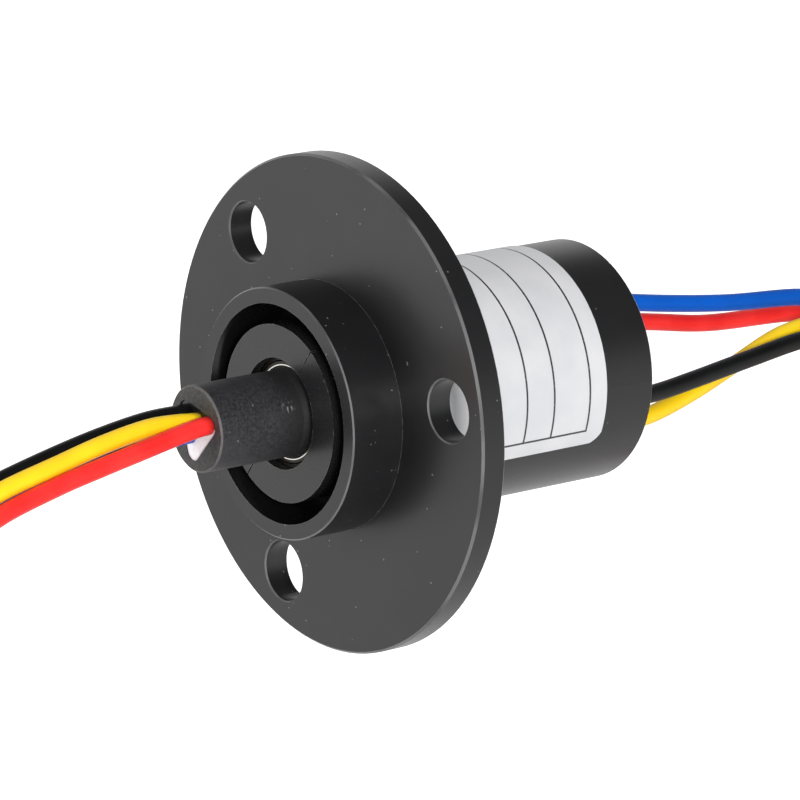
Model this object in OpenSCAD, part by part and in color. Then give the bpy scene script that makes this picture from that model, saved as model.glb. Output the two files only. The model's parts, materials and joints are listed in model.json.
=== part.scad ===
// Flanged capsule slip ring with four circuits.
// The axis of rotation is Y. The origin is the centre of the flange's front face,
// the rotor stub points to -Y and the barrel to +Y.

/* [Housing] */
// Diameter of the mounting flange
flange_d = 44.5; // [44:0.5:50]
// Thickness of the mounting flange
flange_t = 2.5; // [2:0.25:4]
// Diameter of the circle that the bolt holes lie on
bolt_circle_d = 35.4; // [34:0.2:36]
// Diameter of each bolt hole
bolt_hole_d = 5.5; // [3:0.25:6]
// Angle of the first bolt hole, from +X towards +Z
bolt_start_a = 9.5; // [0:0.5:30]
// Diameter of the boss in front of the flange
boss_d = 22.4; // [22:0.1:24]
// Length of the boss in front of the flange
boss_len = 5.3; // [5:0.1:7]
// Diameter of the barrel behind the flange
barrel_d = 22; // [22:0.2:24]
// Distance from the flange's front face to the barrel's rear end
barrel_end_y = 28.8; // [28.5:0.1:32]

/* [Carrier] */
// Diameter of the carrier's nose inside the boss
nose_d = 15.86; // [15.6:0.02:16.2]
// Distance from the nose's front face to the flange's front face
nose_len = 5; // [4.8:0.1:5.2]
// Diameter of the hole in the nose that the rotor comes out of
nose_hole_d = 9.94; // [9.6:0.02:10.2]
// Angle of the plane that splits the carrier, from +X towards +Z
split_a = 54; // [40:1:70]
// Gap between the two halves of the carrier
split_gap = 0.12; // [0.06:0.02:0.2]

/* [Rotor] */
// Diameter of the stub that the driven machine holds
stub_d = 7.7; // [7:0.1:7.8]
// Distance from the stub's tip to the flange's front face
stub_len = 13.9; // [12:0.1:20]
// Distance from the axis to each flat of the three-cornered wire bore
bore_flat_r = 1.95; // [1.94:0.01:2.05]
// Radius of the corners of the wire bore
bore_corner_r = 0.95; // [0.8:0.05:1]
// Angle of the bore's first corner, from +X towards +Z
bore_start_a = 17; // [15:1:19]
// Depth of the potting below the stub's tip
potting_recess = 0.15; // [0.15:0.05:0.6]
// Number of circuits
circuits = 4; // [2:1:4]

/* [Bearings] */
// Bore of each ball bearing
bearing_bore_d = 8; // [8:1:8]
// Outer diameter of each ball bearing
bearing_outer_d = 12; // [12:1:12]
// Width of each ball bearing
bearing_w = 3.5; // [3.5:0.5:3.5]
// Diameter of a ball
ball_d = 1.2; // [1:0.1:1.2]
// Number of balls in each bearing
ball_count = 9; // [7:1:10]

/* [Label] */
// Thickness of the label
label_t = 0.1; // [0.05:0.05:0.2]
// Angle of the label's lower edge, from +X towards +Z
label_start_a = -26.5; // [-40:0.5:-20]
// Angle that the label covers
label_sweep_a = 233; // [200:1:260]

/* [Leads] */
// Diameter of each lead
lead_d = 1.65; // [1.4:0.05:1.65]
// Length of the straight runs of each hank of leads
hank_run = 33; // [25:1:33]
// Radius of the innermost fold of each hank
hank_fold_r = 6.5; // [5:0.5:7]
// Distance between neighbouring leads in a hank
hank_pitch = 1.75; // [1.65:0.05:1.8]

/* [Hidden] */

$fn = 64;
eps = 0.5;                                   // how far a cutter runs past what it cuts

// Housing
flange_edge = 0.2;                           // chamfer of the flange's rim
hole_edge = 0.12;                            // chamfer of the bolt holes and the boss
mouth_r = 9.8;                               // radius of the boss's tapered mouth
mouth_depth = 2.3;                           // length of the taper
throat_r = 8.8;                              // radius of the throat behind it
seat_y = 1.5;                                // where the carrier's shoulder sits
carrier_r = 9.2;                             // radius of the carrier and its bore
barrel_edge = 0.3;                           // chamfer of the barrel's rear end

// Rear cap
cap_y = 27;
cap_face_y = barrel_end_y - 0.2;
exit_r = 6.45;                               // centre radius of the lead slots
exit_half_w = 1.35;
exit_half_a = 19;                            // half the slot's angle, between its end centres
potting_face_y = cap_face_y - 0.1;

// Carrier
bearing_seat_y = -4.1;                       // front face of the front bearing
rear_bearing_y = 22.3;                       // front face of the rear bearing
carrier_end_y = 25.8;
web_t = 1;                                   // web between a bearing and the ring chamber
web_hole_r = 5.4;
chamber_r = 6.95;
side_upper_a = split_a + 90;                 // middle direction of each half
side_lower_a = split_a - 90;

// Brush boards
board_r = 7.6;                               // distance of the board's inner face from the axis
board_t = 0.8;
board_w = 5.6;
board_y0 = 1.9;
board_y1 = 21.1;
window_w = 4.2;
window_margin = 1.6;                         // ledge that each end of the board rests on
jumper_w = 4;                                // channel for the inner leads behind the board
jumper_r = 0.35;
jumper_axis_r = board_r + board_t / 2;
jumper_side = 1.3;
jumper_out_y = carrier_end_y + 0.4;
jumper_end_y = cap_y - jumper_r;             // the rounded tips stay in front of the potting

// Rotor
journal_r = bearing_bore_d / 2;
shoulder_r = 4.7;
shoulder_end_y = 0.6;
shaft_end_y = 26.7;
circlip_y = rear_bearing_y + bearing_w + 0.05;
circlip_t = 0.5;
circlip_groove_r = 3.6;
circlip_r = 4.6;
circlip_gap_a = 70;
bore_end_y = 19;
tip_edge = 0.15;
lead_in = 1;                                 // taper that the front bearing is pressed on over
potting_end_y = -9;

// Ring stack
first_ring_y = 4;
ring_w = 2;
ring_pitch = 4.2;
ring_r = 6;
groove_depth = 0.35;
groove_w = 0.5;
groove_offset = 0.5;                         // from the ring's middle to each brush groove
barrier_r = 6.6;
barrier_edge = 0.2;
stack_end_y = 20.9;
inner_lead_r = 0.8;
solder_stub_r = 0.4;

// Brushes
brush_r = 0.15;
brush_gap = 0.03;                            // running clearance in the groove
brush_reach = 1.6;
brush_leg_side = 1.9;

// Bearings
ball_pitch_r = (bearing_bore_d + bearing_outer_d) / 4;
race_r = ball_d / 2 + 0.02;
inner_ring_r = ball_pitch_r - 0.5;
outer_ring_r = ball_pitch_r + 0.5;
ring_edge = 0.15;
shield_t = 0.2;
shield_inset = 0.1;
shield_inner_r = inner_ring_r + 0.12;
shield_outer_r = outer_ring_r + 0.15;
cage_t = 0.56;
cage_w = 1.7;
pocket_r = ball_d / 2 + 0.05;

// Label
label_y0 = 5;
label_y1 = 23.15;
label_corner_r = 2;
label_corner_in = label_corner_r - 0.15;       // so that the arcs cross the edges cleanly

// Leads, in the plane across the axis: black, yellow, red, blue
front_lead_xz = [[-1.5, 1.13], [0.12, 0.66], [1.78, 0.68], [-0.93, -0.62]];
rear_lead_xz = [[-4.06, 4.62], [-5.66, 2.44], [5.6, -2.9], [4.2, -5.4]];
lead_side_count = 8;

// Hanks hang in the plane x = 0 from the leads' last points
hank_top_z = -17;
front_hank_y = -51.25;
rear_hank_y = 74.25;
hank_layers = 2;
hank_leads = 4;
hank_outer_r = hank_fold_r + (hank_layers - 1) * hank_pitch + lead_d / 2;
hank_half_w = (hank_leads - 1) * hank_pitch / 2 + lead_d / 2;
tie_w = 2.5;
tie_t = 0.8;
tie_corner_r = 1;
tie_head = [3.4, 4.2, 3.6];

// Routes of the free leads, from the potting to the hank
front_routes = [
    [[-1.5, -13.75, 1.13], [-1.5, -14.6, 1.13], [-1.5, -18, 1.08], [-1.55, -22.4, 0.48], [-1.65, -27, -0.45],
        [-1.75, -32.6, -1.82], [-2.1, -36.9, -3.25], [-2.5, -40.4, -6], [-2.63, -42.6, -10.2],
        [-2.63, -43, -15]],
    [[0.12, -13.75, 0.66], [0.12, -14.4, 0.68], [0.18, -16.2, 0.87], [0.3, -19.3, 0.92], [0.2, -23.8, 0.2],
        [0.1, -28.2, -0.84], [0.05, -34, -2.24], [0.2, -37.7, -3.72], [0.6, -40.9, -6.7],
        [0.88, -42.6, -10.8], [0.88, -43, -15]],
    [[1.78, -13.75, 0.68], [1.78, -14.4, 0.66], [1.82, -16.5, 0.38], [1.8, -20.4, -0.38], [1.5, -24.8, -1.35],
        [1.1, -29, -2.4], [1.1, -34.8, -4], [1.8, -38.4, -5.65], [2.35, -41.1, -8.7],
        [2.63, -42.5, -12], [2.63, -43, -15]],
    [[-0.93, -13.75, -0.62], [-0.93, -14.4, -0.62], [-1.1, -18, -1.02], [-1.2, -22.6, -1.93],
        [-1.3, -27, -2.98], [-1.5, -32.9, -4.6], [-1.3, -36.6, -6.4], [-1, -39.8, -9.2],
        [-0.88, -42, -12.5], [-0.88, -43, -15.5]]
];
rear_routes = [
    [[-4.06, 28.5, 4.62], [-4.06, 30.5, 4.6], [-3.8, 36, 3.6], [-3.2, 42.5, 2.6], [-2.3, 49.5, 1.85],
        [-1.3, 57.5, 1.45], [-1, 61.8, 0.3], [-0.88, 64.9, -2.8], [-0.88, 66, -7.1], [-0.88, 66, -15]],
    [[-5.66, 28.5, 2.44], [-5.66, 30.5, 2.42], [-5.2, 36, 1.55], [-4.5, 42.3, 0.6], [-3.7, 48.4, -0.2],
        [-2.9, 58, -0.5], [-2.7, 61.9, -1.7], [-2.63, 64.8, -4.6], [-2.63, 66, -8.8], [-2.63, 66, -15]],
    [[5.6, 28.5, -2.9], [5.6, 30.5, -2.95], [5.2, 34.1, -3.05], [4.6, 39.1, -2.72], [3.75, 47, -2],
        [3.1, 54.2, -1.4], [2.8, 59.5, -1.7], [2.63, 63.4, -4], [2.63, 65.7, -8.2], [2.63, 66, -15]],
    [[4.2, 28.5, -5.4], [4.2, 30.3, -5.45], [3.8, 34.6, -5.5], [3.1, 40.6, -4.3], [1.9, 46.7, -2.85],
        [1, 53.5, -1.1], [0.88, 60, -0.9], [0.88, 63.9, -3.1], [0.88, 65.8, -7.5], [0.88, 66, -15]]
];

// ---------- helpers ----------

// A direction across the axis, as [x, z]
function dir(a) = [cos(a), sin(a)];

// A turned solid from a profile of [radius, y] points
module lathe(profile) {
    rotate([-90, 0, 0]) rotate_extrude($fn = 128) polygon(profile);
}

// A plain disc or tube from y0 to y1
module tube(r_out, r_in, y0, y1) {
    lathe([[r_in, y0], [r_out, y0], [r_out, y1], [r_in, y1]]);
}

// A prism from y0 to y1 whose section is drawn in [x, z]
module along(y0, y1) {
    translate([0, y1, 0]) rotate([90, 0, 0]) linear_extrude(y1 - y0) children();
}

// Turns its children about Y, so that +X goes to the angle a
module turned(a) {
    rotate([0, -a, 0]) children();
}

// A round rod between two points
module rod(from, to, r) {
    d = to - from;
    length = norm(d);
    translate(from)
        rotate([0, acos(d.z / length), atan2(d.y, d.x)])
            cylinder(r = r, h = length, $fn = 32);
}

// The point at radius r and angle a across the axis, at y
function around(r, a, y) = [r * cos(a), y, r * sin(a)];

// A point in a half's own directions: out from the axis, sideways, along the axis
function in_half(a, out, side, y) =
    [out * cos(a) - side * sin(a), y, out * sin(a) + side * cos(a)];

// A block in a half's own directions
module half_block(a, out0, out1, w, y0, y1) {
    turned(a) translate([out0, y0, -w / 2]) cube([out1 - out0, y1 - y0, w]);
}

// ---------- housing ----------

module bolt_holes() {
    for (i = [0:2])
        turned(bolt_start_a + 120 * i) translate([bolt_circle_d / 2, 0, 0]) rotate([-90, 0, 0]) {
            translate([0, 0, -eps]) cylinder(d = bolt_hole_d, h = flange_t + 2 * eps);
            translate([0, 0, -eps])
                cylinder(r1 = bolt_hole_d / 2 + hole_edge + eps, r2 = bolt_hole_d / 2, h = hole_edge + eps);
            translate([0, 0, flange_t - hole_edge])
                cylinder(r1 = bolt_hole_d / 2, r2 = bolt_hole_d / 2 + hole_edge + eps, h = hole_edge + eps);
        }
}

module housing() {
    flange_r = flange_d / 2;
    boss_r = boss_d / 2;
    barrel_r = barrel_d / 2;
    color([0.17, 0.17, 0.18]) difference() {
        lathe([
            [mouth_r, -boss_len], [boss_r - hole_edge, -boss_len], [boss_r, -boss_len + hole_edge],
            [boss_r, 0], [flange_r - flange_edge, 0], [flange_r, flange_edge],
            [flange_r, flange_t - flange_edge], [flange_r - flange_edge, flange_t],
            [barrel_r, flange_t], [barrel_r, barrel_end_y - barrel_edge],
            [barrel_r - barrel_edge, barrel_end_y], [carrier_r, barrel_end_y], [carrier_r, seat_y],
            [throat_r, seat_y], [throat_r, -boss_len + mouth_depth]
        ]);
        bolt_holes();
    }
}

// The kidney slot that a pair of stator leads comes out of
module exit_slot(a) {
    intersection() {
        difference() {
            circle(r = exit_r + exit_half_w);
            circle(r = exit_r - exit_half_w);
        }
        polygon([[0, 0], 12 * dir(a - exit_half_a), 12 * dir(a), 12 * dir(a + exit_half_a)]);
    }
    for (side = [-1, 1])
        translate(exit_r * dir(a + side * exit_half_a)) circle(r = exit_half_w);
}

module rear_cap() {
    color([0.12, 0.12, 0.13]) difference() {
        lathe([[0, cap_y], [carrier_r, cap_y], [carrier_r, cap_face_y - 0.15],
            [carrier_r - 0.15, cap_face_y], [0, cap_face_y]]);
        along(cap_y - eps, cap_face_y + eps) exit_slot(side_upper_a);
        along(cap_y - eps, cap_face_y + eps) exit_slot(side_lower_a);
    }
}

module stator_potting(a) {
    color([0.06, 0.06, 0.065]) along(cap_y, potting_face_y) exit_slot(a);
}

// ---------- carrier ----------

// Everything that is cut out of the carrier around the axis
module carrier_core() {
    lathe([
        [0, -nose_len - eps], [nose_hole_d / 2, -nose_len - eps], [nose_hole_d / 2, bearing_seat_y],
        [bearing_outer_d / 2, bearing_seat_y], [bearing_outer_d / 2, bearing_seat_y + bearing_w],
        [web_hole_r, bearing_seat_y + bearing_w], [web_hole_r, bearing_seat_y + bearing_w + web_t],
        [chamber_r, bearing_seat_y + bearing_w + web_t], [chamber_r, rear_bearing_y - web_t],
        [web_hole_r, rear_bearing_y - web_t], [web_hole_r, rear_bearing_y],
        [bearing_outer_d / 2, rear_bearing_y], [bearing_outer_d / 2, carrier_end_y + eps],
        [0, carrier_end_y + eps]
    ]);
}

// One half of the clamshell that carries the bearings and a brush board
module carrier_half(a) {
    nose_r = nose_d / 2;
    color([0.2, 0.2, 0.21]) difference() {
        lathe([
            [0, -nose_len], [nose_r, -nose_len], [nose_r, seat_y], [carrier_r, seat_y],
            [carrier_r, carrier_end_y], [0, carrier_end_y]
        ]);
        carrier_core();
        turned(a) translate([-20, -20, -20]) cube([20 + split_gap / 2, 60, 40]);
        half_block(a, board_r, carrier_r + eps, board_w, board_y0, board_y1);
        half_block(a, chamber_r - 1.2, board_r + eps, window_w,
            board_y0 + window_margin, board_y1 - window_margin);
        half_block(a, board_r, carrier_r + eps, jumper_w, board_y1 - eps, carrier_end_y + eps);
    }
}

// ---------- bearings ----------

// A ball race cut into a ring: the section at the ball's pitch circle
module race(y) {
    rotate([-90, 0, 0]) rotate_extrude($fn = 128) translate([ball_pitch_r, y]) circle(r = race_r, $fn = 48);
}

module bearing_inner_ring(y) {
    color([0.82, 0.82, 0.83]) difference() {
        lathe([
            [journal_r + ring_edge, y], [inner_ring_r, y], [inner_ring_r, y + bearing_w],
            [journal_r + ring_edge, y + bearing_w], [journal_r, y + bearing_w - ring_edge],
            [journal_r, y + ring_edge]
        ]);
        race(y + bearing_w / 2);
    }
}

module bearing_outer_ring(y) {
    outer_r = bearing_outer_d / 2;
    rebate = shield_inset + shield_t;
    color([0.78, 0.78, 0.8]) difference() {
        lathe([
            [shield_outer_r, y], [outer_r - ring_edge, y], [outer_r, y + ring_edge],
            [outer_r, y + bearing_w - ring_edge], [outer_r - ring_edge, y + bearing_w],
            [shield_outer_r, y + bearing_w], [shield_outer_r, y + bearing_w - rebate],
            [outer_ring_r, y + bearing_w - rebate], [outer_ring_r, y + rebate], [shield_outer_r, y + rebate]
        ]);
        race(y + bearing_w / 2);
    }
}

module bearing_shields(y) {
    far_y = y + bearing_w - shield_inset;
    color([0.7, 0.7, 0.72]) {
        tube(shield_outer_r, shield_inner_r, y + shield_inset, y + shield_inset + shield_t);
        tube(shield_outer_r, shield_inner_r, far_y - shield_t, far_y);
    }
}

module bearing_balls(y) {
    color([0.85, 0.85, 0.86])
        for (i = [0:ball_count - 1])
            translate(around(ball_pitch_r, i * 360 / ball_count, y + bearing_w / 2))
                sphere(d = ball_d, $fn = 32);
}

module bearing_cage(y) {
    mid_y = y + bearing_w / 2;
    color([0.8, 0.66, 0.32]) difference() {
        tube(ball_pitch_r + cage_t / 2, ball_pitch_r - cage_t / 2, mid_y - cage_w / 2, mid_y + cage_w / 2);
        for (i = [0:ball_count - 1])
            rod(around(ball_pitch_r - 1, i * 360 / ball_count, mid_y),
                around(ball_pitch_r + 1, i * 360 / ball_count, mid_y), pocket_r);
    }
}

// ---------- rotor ----------

// The three-cornered section of the wire bore
module bore_section() {
    corner_at = 2 * (bore_flat_r - bore_corner_r);
    corners = [for (i = [0:2]) bore_start_a + 120 * i];
    polygon([for (a = corners) for (turn = [-60, 60]) corner_at * dir(a) + bore_corner_r * dir(a + turn)]);
    for (a = corners) translate(corner_at * dir(a)) circle(r = bore_corner_r, $fn = 48);
}

// The middle of ring number i, counted from 0
function ring_mid_y(i) = first_ring_y + ring_pitch * i + ring_w / 2;
function lead_angle(i) = atan2(front_lead_xz[i][1], front_lead_xz[i][0]);

module rotor_shaft() {
    stub_r = stub_d / 2;
    color([0.19, 0.19, 0.2]) difference() {
        lathe([
            [0, -stub_len], [stub_r - tip_edge, -stub_len], [stub_r, -stub_len + tip_edge],
            [stub_r, bearing_seat_y - lead_in], [journal_r, bearing_seat_y],
            [journal_r, bearing_seat_y + bearing_w],
            [shoulder_r, bearing_seat_y + bearing_w], [shoulder_r, shoulder_end_y],
            [journal_r, shoulder_end_y], [journal_r, circlip_y], [circlip_groove_r, circlip_y],
            [circlip_groove_r, circlip_y + circlip_t], [journal_r, circlip_y + circlip_t],
            [journal_r, shaft_end_y - tip_edge], [journal_r - tip_edge, shaft_end_y], [0, shaft_end_y]
        ]);
        along(-stub_len - eps, bore_end_y) bore_section();
        for (i = [0:circuits - 1])
            rod(around(1.5, lead_angle(i), ring_mid_y(i)),
                around(journal_r + eps, lead_angle(i), ring_mid_y(i)), solder_stub_r);
    }
}

module shaft_circlip() {
    color([0.35, 0.35, 0.36]) along(circlip_y, circlip_y + circlip_t) difference() {
        circle(r = circlip_r);
        circle(r = circlip_groove_r);
        polygon([[0, 0], 9 * dir(90 - circlip_gap_a / 2), 9 * dir(90), 9 * dir(90 + circlip_gap_a / 2)]);
    }
}

module rotor_potting() {
    color([0.93, 0.92, 0.9]) along(-stub_len + potting_recess, potting_end_y) bore_section();
}

// The insulated leads inside the shaft, each ending in a bare stub on its own ring
module rotor_inner_leads() {
    colours = [[0.05, 0.05, 0.05], [0.95, 0.8, 0.1], [0.85, 0.1, 0.1], [0.05, 0.3, 0.75]];
    for (i = [0:circuits - 1]) {
        x = front_lead_xz[i][0];
        z = front_lead_xz[i][1];
        y = ring_mid_y(i);
        color(colours[i]) union() {
            rod([x, potting_end_y, z], [x, y + inner_lead_r, z], inner_lead_r);
            rod([x, y, z], around(journal_r, lead_angle(i), y), solder_stub_r);
        }
    }
}

module slip_ring(i) {
    y0 = ring_mid_y(i) - ring_w / 2;
    y1 = y0 + ring_w;
    floor_r = ring_r - groove_depth;
    grooves = [for (side = [-1, 1]) ring_mid_y(i) + side * groove_offset];
    color([0.86, 0.68, 0.25]) lathe(concat(
        [[journal_r, y0], [ring_r, y0]],
        [for (g = grooves) each [[ring_r, g - groove_w / 2], [floor_r, g - groove_w / 2 + 0.06],
            [floor_r, g + groove_w / 2 - 0.06], [ring_r, g + groove_w / 2]]],
        [[ring_r, y1], [journal_r, y1]]
    ));
}

// The insulating barrier in front of ring number i. The first and last also fill the stack's ends
module ring_barrier(i) {
    y0 = i == 0 ? shoulder_end_y : ring_mid_y(i - 1) + ring_w / 2;
    y1 = i == circuits ? stack_end_y : ring_mid_y(i) - ring_w / 2;
    color([0.3, 0.3, 0.31]) {
        lathe([[journal_r, y0], [barrier_r - barrier_edge, y0], [barrier_r, y0 + barrier_edge],
            [barrier_r, y1 - barrier_edge], [barrier_r - barrier_edge, y1], [journal_r, y1]]);
        if (i == circuits) tube(inner_ring_r, journal_r, stack_end_y, rear_bearing_y);
    }
}

// ---------- brushes ----------

module brush_board(a) {
    color([0.1, 0.35, 0.2]) half_block(a, board_r, board_r + board_t, board_w, board_y0, board_y1);
}

// Two sprung wires for each ring: a run across the ring's groove and a leg to the board
module brush_wires(a) {
    run_r = ring_r - groove_depth + brush_gap + brush_r;
    color([0.9, 0.74, 0.3])
        for (i = [0:circuits - 1]) for (side = [-1, 1]) {
            y = ring_mid_y(i) + side * groove_offset;
            union() {
                rod(in_half(a, run_r, -brush_reach, y), in_half(a, run_r, brush_leg_side, y), brush_r);
                translate(in_half(a, run_r, brush_leg_side, y)) sphere(r = brush_r, $fn = 32);
                rod(in_half(a, run_r, brush_leg_side, y), in_half(a, board_r, brush_leg_side, y), brush_r);
            }
        }
}

// Bare conductors from the boards towards the potting
module stator_inner_leads() {
    sides = [[side_upper_a, -jumper_side, 0], [side_upper_a, jumper_side, 1],
        [side_lower_a, jumper_side, 2], [side_lower_a, -jumper_side, 3]];
    color([0.8, 0.5, 0.3])
        for (s = sides) {
            start = in_half(s[0], jumper_axis_r, s[1], board_y1);
            bend = in_half(s[0], jumper_axis_r, s[1], jumper_out_y);
            end = [rear_lead_xz[s[2]][0], jumper_end_y, rear_lead_xz[s[2]][1]];
            union() {
                rod(start, bend, jumper_r);
                translate(bend) sphere(r = jumper_r, $fn = 32);
                rod(bend, end, jumper_r * 0.8);
            }
        }
}

// ---------- label ----------

module label() {
    barrel_r = barrel_d / 2;
    end_a = label_start_a + label_sweep_a;
    cut_a = atan(label_corner_in / barrel_r);
    color([0.85, 0.85, 0.86]) difference() {
        along(label_y0, label_y1) intersection() {
            difference() {
                circle(r = barrel_r + label_t, $fn = 128);
                circle(r = barrel_r, $fn = 128);
            }
            polygon([[0, 0], for (i = [0:8]) 20 * dir(label_start_a + i * label_sweep_a / 8)]);
        }
        for (corner = [[label_start_a + cut_a, -1], [end_a - cut_a, 1]])
            turned(corner[0]) translate([barrel_r - 1, label_y1 - label_corner_in, 0])
                rotate([0, 90, 0]) difference() {
                    translate([corner[1] < 0 ? 0 : -2 * label_corner_r, 0, 0])
                        cube([2 * label_corner_r, 2 * label_corner_r, 3]);
                    cylinder(r = label_corner_r, h = 3);
                }
    }
}

// ---------- free leads ----------

// The direction of a route at its point i
function heading(p, i) =
    let (d = p[min(i + 1, len(p) - 1)] - p[max(i - 1, 0)]) d / norm(d);

// A lead swept along a route, with flat ends
module lead(route, colour) {
    last = len(route) - 1;
    sides = lead_side_count;
    rings = [for (i = [0:last])
        let (t = i == 0 ? route[1] - route[0] : i == last ? [0, 0, -1] : heading(route, i),
            along_t = t / norm(t),
            across = cross(along_t, [1, 0, 0]),
            u = across / norm(across),
            v = cross(along_t, u))
        for (k = [0:sides - 1])
            route[i] + lead_d / 2 * (cos(360 * k / sides) * u + sin(360 * k / sides) * v)];
    faces = concat(
        [[for (k = [0:sides - 1]) k]],
        [for (i = [0:last - 1]) for (k = [0:sides - 1])
            [i * sides + k, (i + 1) * sides + k, (i + 1) * sides + (k + 1) % sides,
                i * sides + (k + 1) % sides]],
        [[for (k = [sides - 1:-1:0]) last * sides + k]]
    );
    color(colour) polyhedron(rings, faces);
}

// A stadium with its straight sides along the second axis, from the runs' top end down
module stadium(r) {
    translate([-r, hank_top_z - hank_run]) square([2 * r, hank_run]);
    translate([0, hank_top_z]) circle(r = r);
    translate([0, hank_top_z - hank_run]) circle(r = r);
}

// The outer shape of four leads folded into two layers of runs
module lead_hank(y) {
    color([0.35, 0.3, 0.28]) translate([-hank_half_w, y, 0]) rotate([90, 0, 90])
        linear_extrude(2 * hank_half_w) difference() {
            stadium(hank_outer_r);
            stadium(hank_fold_r - lead_d / 2);
        }
}

module rounded_square(half_x, half_y, r) {
    square([2 * half_x, 2 * (half_y - r)], center = true);
    square([2 * (half_x - r), 2 * half_y], center = true);
    for (x = [-1, 1]) for (y = [-1, 1])
        translate([x * (half_x - r), y * (half_y - r)]) circle(r = r);
}

// A cable tie round the middle of a hank, with its head on the +X side
module hank_tie(y) {
    half_x = hank_half_w;
    half_y = hank_outer_r;
    mid_z = hank_top_z - hank_run / 2;
    color([0.1, 0.1, 0.1]) {
        translate([0, y, mid_z - tie_w / 2]) linear_extrude(tie_w) difference() {
            rounded_square(half_x + tie_t, half_y + tie_t, tie_corner_r + tie_t);
            square([2 * half_x, 2 * half_y], center = true);
        }
        translate([half_x + 0.1, y - tie_head[1] / 2, mid_z - tie_head[2] / 2]) cube(tie_head);
    }
}

housing();
rear_cap();
carrier_half(side_upper_a);  // carrier_half_upper
carrier_half(side_lower_a);  // carrier_half_lower
label();
bearing_outer_ring(bearing_seat_y);  // front_bearing_outer_ring
bearing_inner_ring(bearing_seat_y);  // front_bearing_inner_ring
bearing_balls(bearing_seat_y);  // front_bearing_balls
bearing_cage(bearing_seat_y);  // front_bearing_cage
bearing_shields(bearing_seat_y);  // front_bearing_shields
bearing_outer_ring(rear_bearing_y);  // rear_bearing_outer_ring
bearing_inner_ring(rear_bearing_y);  // rear_bearing_inner_ring
bearing_balls(rear_bearing_y);  // rear_bearing_balls
bearing_cage(rear_bearing_y);  // rear_bearing_cage
bearing_shields(rear_bearing_y);  // rear_bearing_shields
rotor_shaft();
shaft_circlip();
rotor_potting();
rotor_inner_leads();
slip_ring(0);  // slip_ring_1
slip_ring(1);  // slip_ring_2
slip_ring(2);  // slip_ring_3
slip_ring(3);  // slip_ring_4
ring_barrier(0);  // ring_barrier_1
ring_barrier(1);  // ring_barrier_2
ring_barrier(2);  // ring_barrier_3
ring_barrier(3);  // ring_barrier_4
ring_barrier(4);  // ring_barrier_5
brush_board(side_upper_a);  // brush_board_upper
brush_board(side_lower_a);  // brush_board_lower
brush_wires(side_upper_a);  // brush_wires_upper
brush_wires(side_lower_a);  // brush_wires_lower
stator_inner_leads();
stator_potting(side_upper_a);  // stator_potting_upper
stator_potting(side_lower_a);  // stator_potting_lower
lead(front_routes[0], [0.05, 0.05, 0.05]);  // rotor_lead_black
lead(front_routes[1], [0.97, 0.82, 0.1]);  // rotor_lead_yellow
lead(front_routes[2], [0.9, 0.12, 0.12]);  // rotor_lead_red
lead(front_routes[3], [0.05, 0.35, 0.8]);  // rotor_lead_blue
lead(rear_routes[0], [0.05, 0.35, 0.8]);  // stator_lead_blue
lead(rear_routes[1], [0.9, 0.12, 0.12]);  // stator_lead_red
lead(rear_routes[2], [0.05, 0.05, 0.05]);  // stator_lead_black
lead(rear_routes[3], [0.97, 0.82, 0.1]);  // stator_lead_yellow
lead_hank(front_hank_y);  // rotor_lead_hank
hank_tie(front_hank_y);  // rotor_hank_tie
lead_hank(rear_hank_y);  // stator_lead_hank
hank_tie(rear_hank_y);  // stator_hank_tie
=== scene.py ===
import json
import math

import bmesh
import bpy
from mathutils import Matrix, Vector


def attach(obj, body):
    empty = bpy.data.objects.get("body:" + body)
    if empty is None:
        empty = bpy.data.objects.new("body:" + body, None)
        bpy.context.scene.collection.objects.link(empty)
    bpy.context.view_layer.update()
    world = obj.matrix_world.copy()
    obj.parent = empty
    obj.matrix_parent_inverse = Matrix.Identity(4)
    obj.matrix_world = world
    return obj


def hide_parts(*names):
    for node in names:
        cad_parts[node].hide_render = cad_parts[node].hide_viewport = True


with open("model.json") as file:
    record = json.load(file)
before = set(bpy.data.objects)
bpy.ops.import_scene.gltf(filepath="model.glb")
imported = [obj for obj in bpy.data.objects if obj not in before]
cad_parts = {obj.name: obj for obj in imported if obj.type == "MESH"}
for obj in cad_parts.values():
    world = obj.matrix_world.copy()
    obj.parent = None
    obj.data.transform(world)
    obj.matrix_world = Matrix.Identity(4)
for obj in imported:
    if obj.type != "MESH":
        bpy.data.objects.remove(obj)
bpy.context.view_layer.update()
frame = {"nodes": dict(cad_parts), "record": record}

MM = 0.001


# ---------- camera ----------

CAMERA_AZIMUTH = 52.116                     # degrees round from the front, towards +X
CAMERA_ELEVATION = 14.085
CAMERA_DISTANCE = 425.557                   # mm from the flange's centre, along the view
CAMERA_RIGHT = 6.649                        # mm that the camera stands to the right of it
CAMERA_UP = 0.446
CAMERA_SENSOR = 36
CAMERA_LENS = 217.83
CAMERA_CLIP = (0.01, 20)                    # m


def make_camera():
    """The camera, without shift or depth of field."""
    a, e = math.radians(CAMERA_AZIMUTH), math.radians(CAMERA_ELEVATION)
    back = Vector((math.sin(a) * math.cos(e), -math.cos(a) * math.cos(e), math.sin(e)))
    right = Vector((math.cos(a), math.sin(a), 0))
    up = back.cross(right)
    camera = bpy.data.objects.new("camera", bpy.data.cameras.new("camera"))
    bpy.context.scene.collection.objects.link(camera)
    camera.matrix_world = Matrix((right, up, back)).transposed().to_4x4()
    camera.location = (back * CAMERA_DISTANCE + right * CAMERA_RIGHT + up * CAMERA_UP) * MM
    camera.data.sensor_width = CAMERA_SENSOR
    camera.data.lens = CAMERA_LENS
    camera.data.clip_start, camera.data.clip_end = CAMERA_CLIP
    bpy.context.scene.camera = camera


make_camera()


# ---------- helpers for meshes ----------

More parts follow.
